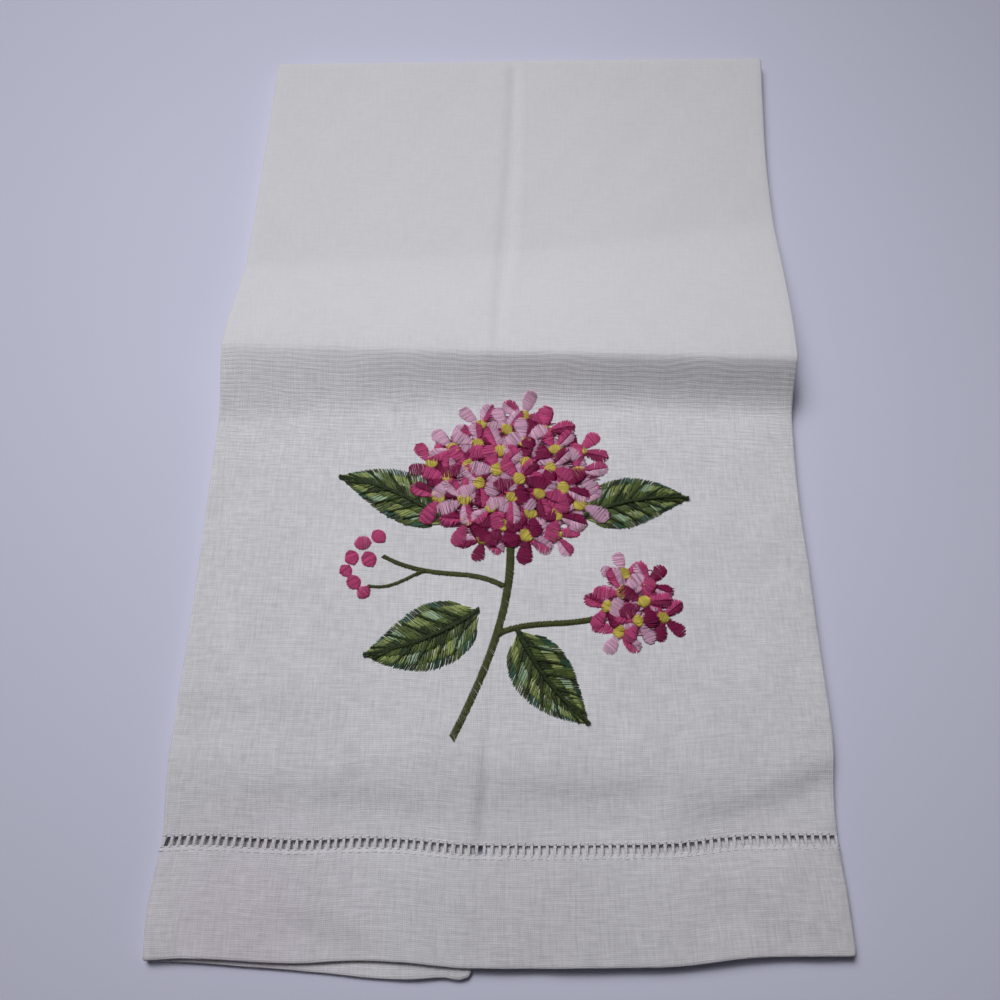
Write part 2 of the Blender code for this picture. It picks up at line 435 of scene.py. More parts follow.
def row_shift(row, x, left_share, right_share):
    """How far a row across the cloth is shifted along Y, because hem, ridge and top aren't square.
    The shares say how far a point is round into the turned-in left or right side."""
    crest = CREST_SLANT * x
    top = TOP_SLANT * x
    upper = crest + (top - crest) * (row - CREST_AT) / (FRONT_LENGTH - CREST_AT)
    face = lookup(HEM_LINE, x, 1) * (1 - smooth((row - BOW_FULL) / (BOW_GONE - BOW_FULL)))
    fade = 1 - smooth(row / FLAP_BOW_GONE)
    left = (lookup(LEFT_FLAP_LINE, x, 1) + LEFT_FLAP_SLIP * smooth(row / HEM_DEPTH)) * fade
    right = RIGHT_FLAP_BOW * fade
    bow = face + (left - face) * left_share + (right - face) * right_share
    return np.where(row > CREST_AT, upper, bow + crest * smooth(row / CREST_AT))


def spaced(start, end, steps):
    """Evenly spaced places from start to end, with both."""
    return [start + (end - start) * step / steps for step in range(steps + 1)]


def make_columns():
    """The columns along the cloth, from the left side's free edge round the folds to the right's.

    A column's x is its weights on the left bend, right bend, left free edge and right free edge,
    plus the bend radius times its outward x. Returns the columns, and the ladder's cells as
    (first column, middle column or None, last column)."""
    flap = FOLDED_WIDTH / 2 - SEAM_GAP / 2
    start = SIDE_HEM_NOSE[-1] / flap
    left_shares = [nose / flap for nose in SIDE_HEM_NOSE[:-1]] + spaced(start, 1.0, FLAP_CELLS)
    columns, cells = [], []

    def add(weights, out_x=0.0, out_z=1.0, left_flap=0.0, right_flap=0.0):
        columns.append((*weights, out_x, out_z, left_flap, right_flap))
        return len(columns) - 1

    noses = len(SIDE_HEM_NOSE) - 1
    for share in left_shares:
        add((share, 0.0, 1 - share, 0.0), out_z=-1.0, left_flap=1.0)
    for cell in range(FLAP_CELLS):
        cells.append((noses + cell, None, noses + cell + 1))
    for angle in spaced(0.0, math.pi, BEND_STEPS)[1:-1]:
        turned = (1 + math.cos(angle)) / 2
        add((1.0, 0.0, 0.0, 0.0), -math.sin(angle), -math.cos(angle), left_flap=turned)

    first = add((1.0, 0.0, 0.0, 0.0))
    for cell in range(FACE_CELLS):
        share = (cell + 1) / FACE_CELLS
        centre = (cell + 0.5) / FACE_CELLS
        middle = None
        if CREASE_LEFT < (centre - 0.5) * FOLDED_WIDTH < CREASE_RIGHT:
            middle = add((1 - centre, centre, 0.0, 0.0))
        last = add((1 - share, share, 0.0, 0.0))
        cells.append((first, middle, last))
        first = last

    for angle in spaced(0.0, math.pi, BEND_STEPS)[1:-1]:
        turned = (1 - math.cos(angle)) / 2
        add((0.0, 1.0, 0.0, 0.0), math.sin(angle), math.cos(angle), right_flap=turned)
    first = len(columns)
    for share in reversed(left_shares):
        add((0.0, share, 0.0, 1 - share), out_z=-1.0, right_flap=1.0)
    for cell in range(FLAP_CELLS):
        cells.append((first + cell, None, first + cell + 1))
    return np.array(columns), cells


def make_rows():
    """Rows across the front half, close together at the ladder and on the ridge, and the place of
    the ladder's lower row among them."""
    rows = [*EDGE_ROWS, *spaced(*HEM_ROWS), LAST_HEM_ROW]
    ladder = len(rows)
    rows += [LADDER_AT - LADDER_HALF, LADDER_AT, LADDER_AT + LADDER_HALF, ROW_ABOVE_LADDER]
    rows.append(BODY_ROWS[0][0])
    for run in BODY_ROWS:
        rows += spaced(*run)[1:]
    return np.array(rows), ladder


def section(row, columns, inset=0.0):
    """x of every column at a row."""
    left, right = side_lines(row)
    outer = CLOTH / 2 + (HEM_OUTSIDE - CLOTH / 2) * (row < HEM_DEPTH)
    margin = BEND_RADIUS + outer + inset
    seam = (left + right) / 2 + lookup(SEAM, row, 1)
    ends = np.stack([left + margin, right - margin, seam - SEAM_GAP / 2, seam + SEAM_GAP / 2], -1)
    return ends @ columns[:, :4].T + BEND_RADIUS * columns[:, 4]


def rounded(share):
    """How thick a rounded edge is, at a share of its width in from its tip."""
    return np.sqrt(np.clip(1 - (1 - np.clip(share, LEAST_NOSE, 1)) ** 2, 0, 1))


def thicknesses(row, x, columns, seam):
    """How far the cloth's outer and inner sides are from its middle, thinner at the rounded hem
    edge and thicker along the rolled hems of the turned-in sides."""
    outer = np.where(row < HEM_DEPTH, HEM_OUTSIDE, CLOTH / 2) + 0 * x
    inner = np.where(row < HEM_DEPTH, HEM_INSIDE, CLOTH / 2) + 0 * x
    from_left = np.where(columns[:, 6] < 1, np.inf, seam - SEAM_GAP / 2 - x)
    from_right = np.where(columns[:, 7] < 1, np.inf, x - seam - SEAM_GAP / 2)
    for edge, width in ((from_left, LEFT_SIDE_HEM), (from_right, RIGHT_SIDE_HEM)):
        rolled = smooth((width - edge) / SIDE_HEM_BLEND + 0.5)
        outer = outer + SIDE_HEM_EXTRA * rolled
        inner = inner + SIDE_HEM_EXTRA * rolled
    nearest = np.minimum(from_left, from_right)
    thin = np.minimum(rounded(nearest / SIDE_HEM_NOSE[-1]), rounded(row / HEM_NOSE))
    drawn = LADDER_AT - LADDER_HALF <= row <= LADDER_AT + LADDER_HALF
    if drawn:
        thin = thin * DRAWN_SHARE
    return outer * thin, inner * thin


def front_frame(row, x, columns):
    """The face layer's middle at a row of the front half, and its upward direction, in Y and Z."""
    y = row + row_shift(row, x, columns[:, 6], columns[:, 7])
    reach = 0.25
    rise = (face_height(x, y + reach) - face_height(x, y - reach)) / (2 * reach)
    length = np.hypot(1.0, rise)
    return y, face_height(x, y), -rise / length, 1 / length


def turn_frame(angle, x):
    """The same on the turn at the top fold."""
    y = FRONT_LENGTH + TOP_SLANT * x
    up, out = math.cos(angle), math.sin(angle)
    face = face_height(x, y) - FRONT_HEIGHT
    ease = (1 + up) / 2
    return y + TURN_RADIUS * out, TURN_HEIGHT + TURN_RADIUS * up + face * ease, out + 0 * x, up + 0 * x


def back_frame(share, from_hem, x):
    """The same on the back half, which lies upside down on the table, its hem a little thicker."""
    start = FRONT_LENGTH + TOP_SLANT * x
    height = HEM_OUTSIDE if from_hem < HEM_DEPTH else BACK_HEIGHT
    return start + (BACK_END - start) * share, height + 0 * x, 0 * x, -1.0 + 0 * x


def place(points):
    """From the towel's own millimetres to the frame's metres."""
    shift = np.array([HEM_MIDDLE[0], HEM_MIDDLE[1], 0.0])
    return (np.asarray(points) + shift) * MM


def cloth_points(rows, columns):
    """The outer and inner points of every ring, with each point's place on the flat cloth."""
    stations = [(row, 0.0, row, None, None) for row in rows]
    along = FRONT_LENGTH
    for angle in spaced(0.0, math.pi, TURN_STEPS)[1:]:
        inset = BACK_INSET * angle / math.pi
        stations.append((FRONT_LENGTH, inset, along + TURN_RADIUS * angle, angle, None))
    along += TURN_RADIUS * math.pi
    for share in spaced(0.0, 1.0, BACK_STEPS)[1:]:
        row = FRONT_LENGTH + (BACK_END - FRONT_LENGTH) * share
        stations.append((row, BACK_INSET, along + FRONT_LENGTH - row, None, share))

    out_x, out_z = columns[:, 4], columns[:, 5]
    reference = section(PATTERN_ROW, columns)
    steps = np.hypot(np.diff(reference), BEND_RADIUS * np.diff(out_z))
    across = np.concatenate([[0.0], np.cumsum(steps)])
    outer_rings, inner_rings, flat = [], [], []
    for row, inset, run, angle, share in stations:
        x = section(row, columns, inset)
        left, right = side_lines(row)
        seam = (left + right) / 2 + lookup(SEAM, row, 1)
        from_hem = row if share is None else (FRONT_LENGTH - BACK_END) * (1 - share)
        if angle is not None:
            y, z, up_y, up_z = turn_frame(angle, x)
        elif share is not None:
            y, z, up_y, up_z = back_frame(share, from_hem, x)
        else:
            y, z, up_y, up_z = front_frame(row, x, columns)
        outer, inner = thicknesses(from_hem, x, columns, seam)
        right_sag = RIGHT_SAG[0] + (RIGHT_SAG[1] - RIGHT_SAG[0]) * smooth(x / RIGHT_SAG_FROM - 1)
        sag = columns[:, 6] * LEFT_SAG + columns[:, 7] * right_sag
        sag = sag * (1 - smooth((from_hem - SAG_UPTO) / SAG_FADE)) * (share is None)
        layer = BEND_RADIUS * (out_z - 1) - sag
        lowest = z + (layer + outer * out_z) * up_z
        z = z + np.maximum(0.0, -lowest)
        for side, rings in ((outer, outer_rings), (-inner, inner_rings)):
            reach = layer + side * out_z
            rings.append(np.stack([x + side * out_x, y + reach * up_y, z + reach * up_z], -1))
        flat.append(np.stack([across, np.full(len(x), run)], -1))
    return np.array(outer_rings), np.array(inner_rings), np.array(flat)


def cell_holes(sides, flat, ladder, cells):
    """Extra points at the ladder: for each cell the middles of its lower and upper edge, where no
    column runs, and the eight points round its hole. Returns points for each side, their places
    on the flat cloth, and for each cell its row of extra points."""
    corners = [(ladder, 0), (ladder, 2), (ladder + 2, 2), (ladder + 2, 0)]
    half, tall = HOLE_SHARE / 2, HOLE_HEIGHT_SHARE / 2
    wide, high = half + HOLE_ROUNDING[0], tall + HOLE_ROUNDING[1]
    ring = ((-half, -tall), (0.0, -high), (half, -tall), (wide, 0.0),
            (half, tall), (0.0, high), (-half, tall), (-wide, 0.0))
    extra = [[], []]
    extra_flat = []
    for number, cell in enumerate(cells):
        rung = number - FLAP_CELLS
        lean = RUNG_LEAN * max(0.0, 1 - rung / LEANING_RUNGS) if rung >= 0 else 0.0
        nudge, spread = rng.normal(0.0, HOLE_UNEVENNESS, 2)
        spots = [(0.5, 0.0), (0.5, 1.0)]
        spots += [(0.5 + nudge + s * (1 + 2 * spread) + lean * t, 0.5 + t) for s, t in ring]
        weights = np.array([[(1 - s) * (1 - t), s * (1 - t), s * t, (1 - s) * t] for s, t in spots])
        for side, out in zip(sides, extra):
            out.append(weights @ np.array([side[row, cell[end]] for row, end in corners]))
        extra_flat.append(weights @ np.array([flat[row, cell[end]] for row, end in corners]))
    return [np.array(out) for out in extra], np.array(extra_flat)


def cloth_faces(shape, ladder, cells, extra_start, extra_count):
    """The faces of the closed sheet, from its rings, its ladder cells and its edges."""
    rings, count = shape
    faces = []
    blocked = {}
    for number, (first, _, last) in enumerate(cells):
        for column in range(first, last):
            blocked[column] = number

    def at(side, ring, column):
        return side * extra_start + ring * count + column

    def extra(side, number, spot):
        return 2 * extra_start + (side * len(cells) + number) * extra_count + spot

    def add(side, loop):
        faces.append(tuple(loop) if side == 0 else tuple(reversed(loop)))

    for side in (0, 1):
        for ring in range(rings - 1):
            in_ladder = ring in (ladder, ladder + 1)
            by_ladder = ring in (ladder - 1, ladder + 2)
            for column in range(count - 1):
                number = blocked.get(column)
                if number is not None and in_ladder:
                    continue
                loop = [at(side, ring, column), at(side, ring, column + 1),
                        at(side, ring + 1, column + 1), at(side, ring + 1, column)]
                if number is not None and by_ladder and cells[number][1] is None:
                    below = ring == ladder - 1
                    loop.insert(3 if below else 1, extra(side, number, 0 if below else 1))
                add(side, loop)
        for number, (first, middle, last) in enumerate(cells):
            below = extra(side, number, 0) if middle is None else at(side, ladder, middle)
            above = extra(side, number, 1) if middle is None else at(side, ladder + 2, middle)
            outline = [at(side, ladder, first), below, at(side, ladder, last),
                       at(side, ladder + 1, last), at(side, ladder + 2, last), above,
                       at(side, ladder + 2, first), at(side, ladder + 1, first)]
            hole = [extra(side, number, 2 + spot) for spot in range(8)]
            for spot in range(8):
                after = (spot + 1) % 8
                add(side, (outline[spot], outline[after], hole[after], hole[spot]))
    for number in range(len(cells)):
        for spot in range(8):
            a, b = 2 + spot, 2 + (spot + 1) % 8
            faces.append((extra(0, number, a), extra(0, number, b),
                          extra(1, number, b), extra(1, number, a)))
    border = [(0, column) for column in range(count)]
    border += [(ring, count - 1) for ring in range(1, rings)]
    border += [(rings - 1, column) for column in reversed(range(count - 1))]
    border += [(ring, 0) for ring in reversed(range(1, rings - 1))]
    for a, b in zip(border, border[1:] + border[:1]):
        faces.append((at(0, *a), at(1, *a), at(1, *b), at(0, *b)))
    return faces


def new_piece(name, points, faces, material):
    """A smooth mesh object from points in the towel's millimetres."""
    mesh = bpy.data.meshes.new(name)
    mesh.from_pydata(place(points).tolist(), [], faces)
    mesh.validate()
    mesh.shade_smooth()
    mesh.materials.append(material)
    piece = bpy.data.objects.new(name, mesh)
    bpy.context.scene.collection.objects.link(piece)
    return piece


def give(mesh, name, kind, values):
    """Stores a value for each point of the mesh, for its material to read."""
    field = {"FLOAT": "value", "FLOAT_VECTOR": "vector", "FLOAT_COLOR": "color"}[kind]
    attribute = mesh.attributes.new(name, kind, "POINT")
    attribute.data.foreach_set(field, np.asarray(values, np.float32).ravel())


def build_cloth(material):
    """The folded cloth, with its tints, its painted shade and its weave's place stored for each point.
    """
    columns, cells = make_columns()
    rows, ladder = make_rows()
    outer, inner, flat = cloth_points(rows, columns)
    extra, extra_flat = cell_holes((outer, inner), flat, ladder, cells)
    ring_shape = outer.shape[:2]
    faces = cloth_faces(ring_shape, ladder, cells, ring_shape[0] * ring_shape[1], extra_flat.shape[1])
    points = np.concatenate([part.reshape(-1, 3) for part in (outer, inner, *extra)])
    on_flat = np.concatenate([part.reshape(-1, 2) for part in (flat, flat, extra_flat, extra_flat)])
    used = np.zeros(len(points), bool)
    for face in faces:
        used[list(face)] = True
    renumber = np.cumsum(used) - 1
    faces = [tuple(int(renumber[corner]) for corner in face) for face in faces]
    points, on_flat = points[used], on_flat[used]

    towel = new_piece("towel_cloth", points, faces, material)
    towel.data.set_sharp_from_angle(angle=math.radians(70))
    x, y, z = points.T
    on_face = (z > face_height(x, y) - CLOTH) & (on_flat[:, 1] < FRONT_LENGTH)
    tint_and_shade = np.ones((len(points), 4))
    tint_and_shade[:, :3] = LINEN
    # The tints add faint mauve discolouring, and painted shade that darkens the hem
    for spot_x, spot_y, reach, *colour in TINTS_AND_SHADE:
        share = np.exp(-((x - spot_x) ** 2 + (y - spot_y) ** 2) / reach**2)
        tint_and_shade[:, :3] *= 1 + share[:, None] * (np.array(colour) - 1)
    # The middle line's darker tone is painted shade of the gap beneath it
    tint_and_shade[:, :3] *= np.where(on_face, 1 + pressed_lines_and_shade(x, y, 3), 1.0)[:, None]
    unpressed = 1 - (1 - PRESSED_WEAVE) * smooth((on_flat[:, 1] - PRESSED_FROM) / PRESSED_FADE)
    give(towel.data, "weave", "FLOAT_VECTOR", np.column_stack([on_flat, np.zeros(len(points))]))
    give(towel.data, "unpressed", "FLOAT", unpressed)
    ribbed = smooth((on_flat[:, 1] - RIBS_FROM) / (RIBS_FULL - RIBS_FROM))
    ribbed = ribbed * smooth((RIBS_GONE - on_flat[:, 1]) / (RIBS_GONE - RIBS_UPTO))
    give(towel.data, "ribbed", "FLOAT", ribbed)
    give(towel.data, "tint_and_shade", "FLOAT_COLOR", tint_and_shade)
    return towel


def on_cloth(x, y, lift):
    """Points on the outside of the face layer, and its outward direction there."""
    reach = 0.3
    slope_x = (face_height(x + reach, y) - face_height(x - reach, y)) / (2 * reach)
    slope_y = (face_height(x, y + reach) - face_height(x, y - reach)) / (2 * reach)
    out = np.stack([-slope_x, -slope_y, np.ones_like(slope_x)], -1)
    out /= np.linalg.norm(out, axis=-1, keepdims=True)
    middle = np.stack([x, y, face_height(x, y)], -1)
    return middle + out * (CLOTH / 2 + lift)[..., None], out


def thread_piece(name, paths, outs, radius, colours, sides, material):
    """Many threads as one mesh. paths is (threads, points, 3), outs the outward directions."""
    paths, outs = np.asarray(paths), np.asarray(outs)
    count, length = paths.shape[:2]
    run = np.gradient(paths, axis=1)
    run /= np.linalg.norm(run, axis=-1, keepdims=True) + 1e-9
    across = np.cross(run, outs)
    across /= np.linalg.norm(across, axis=-1, keepdims=True) + 1e-9
    up = np.cross(across, run)
    angles = np.arange(sides) * math.tau / sides + math.pi / sides
    radius = np.broadcast_to(np.asarray(radius, float), (count, length))[..., None, None]
    ring = across[:, :, None] * np.cos(angles)[:, None] + up[:, :, None] * np.sin(angles)[:, None]
    points = paths[:, :, None] + ring * radius
    index = np.arange(count * length * sides).reshape(count, length, sides)
    a, b = index[:, :-1], np.roll(index, -1, axis=2)[:, :-1]
    c, d = np.roll(index, -1, axis=2)[:, 1:], index[:, 1:]
    faces = np.stack([a, b, c, d], -1).reshape(-1, 4).tolist()
    faces += index[:, 0, ::-1].tolist() + index[:, -1].tolist()
    piece = new_piece(name, points.reshape(-1, 3), faces, material)
    colours = np.broadcast_to(np.asarray(colours, float), (count, 3))
    shown = np.repeat(np.column_stack([colours, np.ones(count)]), length * sides, axis=0)
    give(piece.data, "thread_colour", "FLOAT_COLOR", shown)
    travelled = np.concatenate(
        [np.zeros((count, 1)), np.cumsum(np.linalg.norm(np.diff(paths, axis=1), axis=-1), axis=1)], 1)
    twist = np.stack(np.broadcast_arrays(
        travelled[..., None], angles / math.tau, np.arange(count)[:, None, None] * 0.37), -1)
    give(piece.data, "twist", "FLOAT_VECTOR", twist.reshape(-1, 3))
    return piece


def linear(red, green, blue):
    """A colour as linear light, from the usual 0 to 255 values."""
    values = np.array([red, green, blue]) / 255
    return np.where(values <= 0.04045, values / 12.92, ((values + 0.055) / 1.055) ** 2.4)


class Shading:
    """A material's node tree, with short calls to add nodes."""

    def __init__(self, name, roughness):
        self.material = bpy.data.materials.new(name)
        self.material.use_nodes = True
        self.tree = self.material.node_tree
        self.shader = self.tree.nodes["Principled BSDF"]
        self.shader.inputs["Roughness"].default_value = roughness

    def add(self, kind, inputs=(), **settings):
        node = self.tree.nodes.new(kind)
        for name, value in settings.items():
            setattr(node, name, value)
        for socket, value in inputs:
            self.set(node.inputs[socket], value)
        return node

    def set(self, socket, value):
        if isinstance(value, bpy.types.NodeSocket):
            self.tree.links.new(value, socket)
        else:
            socket.default_value = value

    def math(self, operation, first, second=0.0, third=0.0):
        inputs = ((0, first), (1, second), (2, third))
        return self.add("ShaderNodeMath", inputs, operation=operation).outputs[0]

    def read(self, name):
        return self.add("ShaderNodeAttribute", attribute_name=name)

    def noise(self, vector, stretch, detail=2.0, roughness=0.5):
        """Noise from 0 to 1 on a stretched vector."""
        scaled = self.add("ShaderNodeVectorMath", ((0, vector), (1, stretch)), operation="MULTIPLY")
        inputs = (("Vector", scaled.outputs[0]), ("Scale", 1.0), ("Detail", detail),
                  ("Roughness", roughness))
        return self.add("ShaderNodeTexNoise", inputs).outputs["Fac"]

    def tinted(self, colour, factor):
        """A colour times a factor."""
        vector = self.add("ShaderNodeVectorMath", ((0, colour), ("Scale", factor)), operation="SCALE")
        return vector.outputs[0]

    def bump(self, height, distance, strength=1.0):
        inputs = (("Height", height), ("Distance", distance), ("Strength", strength))
        bump = self.add("ShaderNodeBump", inputs)
        self.set(self.shader.inputs["Normal"], bump.outputs[0])


def linen_material():
    """Plain-weave linen: two sets of uneven yarns with slubs, painted shade between the yarns, and
    faint mottling of painted shade.
    """
    shade = Shading("linen_weave", 0.88)
    weave = shade.read("weave").outputs["Vector"]
    split = shade.add("ShaderNodeSeparateXYZ", ((0, weave),)).outputs

    def wave(axis, pitch, bends, wander, turn):
        """Waves along an axis, with crests that stray."""
        stray = shade.math("MULTIPLY", shade.noise(weave, bends), wander)
        turns = shade.math("ADD", shade.math("DIVIDE", split[axis], pitch), stray)
        return shade.math("SINE", shade.math("MULTIPLY", turns, turn))

    def both_ways(stretch, detail=2.0, roughness=0.5):
        """Noise for the warp, and the same turned for the weft."""
        across, along, _ = stretch
        return [shade.noise(weave, way, detail, roughness) for way in (stretch, (along, across, 1.0))]

    yarn_waves = (wave(0, YARN, WARP_BENDS, WARP_WANDER, math.pi),
                  wave(1, YARN, WEFT_BENDS, WEFT_WANDER, math.pi))
    crossing = shade.math("MULTIPLY", *yarn_waves)
    slubs = both_ways(SLUBS, 3.0, 0.65)
    short = shade.math("ADD", *both_ways(SHORT_SLUBS))
    yarns = []
    for yarn_wave, slub, over in zip(yarn_waves, slubs, (OVER_UNDER, -OVER_UNDER)):
        lift = shade.math("MULTIPLY_ADD", crossing, over, slub)
        yarns.append(shade.math("MULTIPLY", shade.math("ABSOLUTE", yarn_wave), lift))
    height = shade.math("MAXIMUM", *yarns)
    rough = shade.read("unpressed").outputs["Fac"]
    ribs = shade.math("MULTIPLY", wave(1, RIB_PITCH, RIB_BENDS, RIB_WANDER, math.tau),
                      shade.read("ribbed").outputs["Fac"])
    relief = shade.math("MULTIPLY", shade.math("ADD", height, short), rough)
    shade.bump(shade.math("MULTIPLY_ADD", ribs, RIB_RELIEF, relief), YARN_RELIEF, 0.6)

    # Painted shade between the yarns and in soft mottles, with the slubs' own uneven tone
    uneven = TONE_SHIFT
    tones = ((height, HEIGHT_PAINTED_SHADE), (shade.math("ADD", *slubs), SLUB_TONE), (short, SHORT_TONE),
             (shade.noise(weave, MOTTLE, detail=3.0), MOTTLE_PAINTED_SHADE))
    for part, tone in tones:
        uneven = shade.math("MULTIPLY_ADD", part, tone, uneven)
    bright = shade.math("MULTIPLY_ADD", uneven, rough, 1.0)
    # Painted shade and light along the ribs, in step with their relief
    bright = shade.math("MULTIPLY_ADD", ribs, RIB_PAINTED_SHADE, bright)
    # The stored tint carries painted shade on the hem and the middle line, as well as the linen's
    # colour
    shade.set(shade.shader.inputs["Base Color"],
              shade.tinted(shade.read("tint_and_shade").outputs["Color"], bright))
    shade.shader.inputs["Sheen Weight"].default_value = 0.12
    shade.shader.inputs["Sheen Roughness"].default_value = 0.5
    shade.shader.inputs["Specular IOR Level"].default_value = 0.25
    return shade.material


def thread_material(name, roughness, sheen, twist_pitch):
    """Twisted thread in the colour that each stitch carries, with painted shade in the grooves between
    its plies.
    """
    shade = Shading(name, roughness)
    colour = shade.read("thread_colour").outputs["Color"]
    twist = shade.read("twist").outputs["Vector"]
    split = shade.add("ShaderNodeSeparateXYZ", ((0, twist),))
    turns = shade.math("DIVIDE", split.outputs[0], twist_pitch)
    turns = shade.math("ADD", turns, split.outputs[1])
    plies = shade.math("ABSOLUTE", shade.math("SINE", shade.math("MULTIPLY", turns, math.tau)))
    shade.bump(plies, PLY_RELIEF, 0.8)
    fibres = shade.noise(twist, FIBRES)
    # Painted shade in the grooves between the plies, lighter on their crests
    bright = shade.math("MULTIPLY_ADD", plies, PLY_PAINTED_LIGHT, GROOVE_PAINTED_SHADE)
    bright = shade.math("MULTIPLY_ADD", fibres, FIBRE_TONE, bright)
    shade.set(shade.shader.inputs["Base Color"], shade.tinted(colour, bright))
    shade.shader.inputs["Sheen Weight"].default_value = sheen
    shade.shader.inputs["Sheen Roughness"].default_value = 0.35
    shade.shader.inputs["Specular IOR Level"].default_value = 0.4
    return shade.material


# The hemstitching thread, and the yarns that it bundles: their places across a rung, how far they
# spread and how low they lie from its lower to its upper end
SEWING = linear(240, 238, 240)
SEWING_RADIUS = 0.14
BUNDLE_RADIUS = 0.15
BUNDLE_YARNS = (-0.19, 0.0, 0.19)
BUNDLE_SPREAD = (0.8, 1.1, 1.3, 0.8)
BUNDLE_LIFTS = (-0.08, -0.1, -0.1, -0.08)
THREAD_LEAN = 0.4


def hemstitch_threads():
    """The threads of the hemstitching on the face, each as x, rows, lifts and radius: the bundled
    yarns that are left in each rung, the loops round both ends of a rung, and the line of
    stitches that holds the hem."""
    threads = []
    low, high = LADDER_AT - LADDER_HALF, LADDER_AT + LADDER_HALF
    left, right = side_lines(LADDER_AT)
    margin = BEND_RADIUS + CLOTH / 2
    hem_top = HEM_OUTSIDE - CLOTH / 2
    for rung in range(FACE_CELLS + 1):
        x = left + margin + (right - left - 2 * margin) * rung / FACE_CELLS
        lean = THREAD_LEAN * max(0.0, 1 - rung / LEANING_RUNGS)
        x += rng.normal(0.0, 0.05)
        leans = (-lean / 2, 0.0, 0.0, lean / 2)
        for yarn in BUNDLE_YARNS:
            threads.append((
                [x + yarn * spread + aside for spread, aside in zip(BUNDLE_SPREAD, leans)],
                [low - 0.35, LADDER_AT - 0.4, LADDER_AT + 0.4, high + 0.35],
                BUNDLE_LIFTS, BUNDLE_RADIUS))
        for row, side in ((low - 0.12, -1), (high + 0.1, 1), (high + 0.42, 1)):
            tilt = rng.normal(0.0, 0.12)
            spot = x + side * lean / 2 + rng.normal(0.0, 0.08)
            rise = 0.04 + (hem_top if row < HEM_DEPTH else 0.0)
            reach = rng.uniform(0.45, 0.65)
            threads.append((
                [spot - reach, spot - 0.2, spot + 0.2, spot + reach],
                [row - tilt, row, row + 0.04, row + tilt],
                [rise - 0.16, rise, rise, rise - 0.16], SEWING_RADIUS))
        spot = x - lean / 2
        level = low - rng.uniform(1.0, 1.2)
        if rung > FACE_CELLS / 2:
            threads.append((
                [spot + 0.1, spot - 0.15, spot - 0.4, spot - 0.6],
                [low - 0.2, low - 0.45, level + 0.3, level],
                [hem_top - 0.1, hem_top - 0.03, hem_top - 0.03, hem_top - 0.14], SEWING_RADIUS))
        dash = rng.uniform(0.6, 0.85)
        threads.append((
            [spot - dash, spot - 0.3, spot + 0.3, spot + dash],
            [level - 0.05, level + 0.04, level, level + rng.normal(0.05, 0.08)],
            [hem_top - 0.16, hem_top + 0.02, hem_top + 0.02, hem_top - 0.16], SEWING_RADIUS))
    return threads


def build_hemstitch(material):
    """The hemstitching, laid on the face in slightly uneven shades."""
    threads = hemstitch_threads()
    xs, rows, lifts, radii = (np.array(values, float) for values in zip(*threads))
    paths, outs = on_cloth(xs, rows + row_shift(rows, xs, 0.0, 0.0), lifts)
    shades = SEWING * rng.uniform(0.93, 1.04, (len(threads), 1))
    return thread_piece("hemstitch_thread", paths, outs, radii[:, None], shades, 6,
                        material)


# Embroidery threads
DEEP_PINK = linear(152, 12, 84)
MID_PINK = linear(218, 82, 142)
PALE_PINK = linear(240, 192, 218)
YELLOW = linear(236, 218, 100)
LEAF_DARK = linear(58, 74, 38)
LEAF_MID = linear(104, 122, 60)
LEAF_LIGHT = linear(168, 182, 108)
LEAF_MINT = linear(176, 204, 166)
LEAF_TEAL = linear(62, 104, 76)
STEM_OLIVE = linear(86, 92, 42)
THREAD_RADIUS = 0.17
THREAD_PITCH = 0.29
# Each stitch is made randomly lighter or darker: painted sheen that changes from stitch to stitch
STITCH_PAINTED_SHEEN = (0.74, 1.18)
PILE_SHARE = 0.9

# A stitch's points along its run, how high each arches in radii, and how much of its puff it takes
STITCH_STATIONS = np.array([0.0, 0.16, 0.5, 0.84, 1.0])
STITCH_ARCH = np.array([-1.0, 0.55, 1.0, 0.55, -1.0])
STITCH_PUFF = np.array([0.0, 0.6, 1.0, 0.6, 0.0])

# The posy's parts, in the towel's millimetres
POSY_LOW = (-60.0, 45.0)
POSY_SIZE = (130.0, 125.0)
PILE_CELL = 0.5
MAIN_HEAD = (3.0, 130.0, 25.5, 21.5)
MAIN_BLOSSOMS = 33
OUTER_BLOSSOMS = 17
SIDE_HEAD = (38.5, 92.0, 11.0, 10.0)
SIDE_BLOSSOMS = 8
BLOSSOM_RADIUS = 8.6
SIDE_BLOSSOM_SHARE = 0.88
GOLDEN_TURN = math.pi * (3 - math.sqrt(5))
BLOSSOM_TONES = (
    (DEEP_PINK, DEEP_PINK, MID_PINK),
    (MID_PINK, PALE_PINK, DEEP_PINK),
    (PALE_PINK, PALE_PINK, MID_PINK),
    (DEEP_PINK, MID_PINK, PALE_PINK),
    (PALE_PINK, MID_PINK, PALE_PINK),
)

# A petal's outline, as shares of its length, and a blossom's yellow middle as one of its radius
PETAL_WIDTH = 0.37
PETAL_ROOT = 0.1
PETAL_SWELL = 0.7
PETAL_TIP = 3.5
PETAL_FULLNESS = 1.15
PETAL_SLANT = 0.06
EYE = 0.23

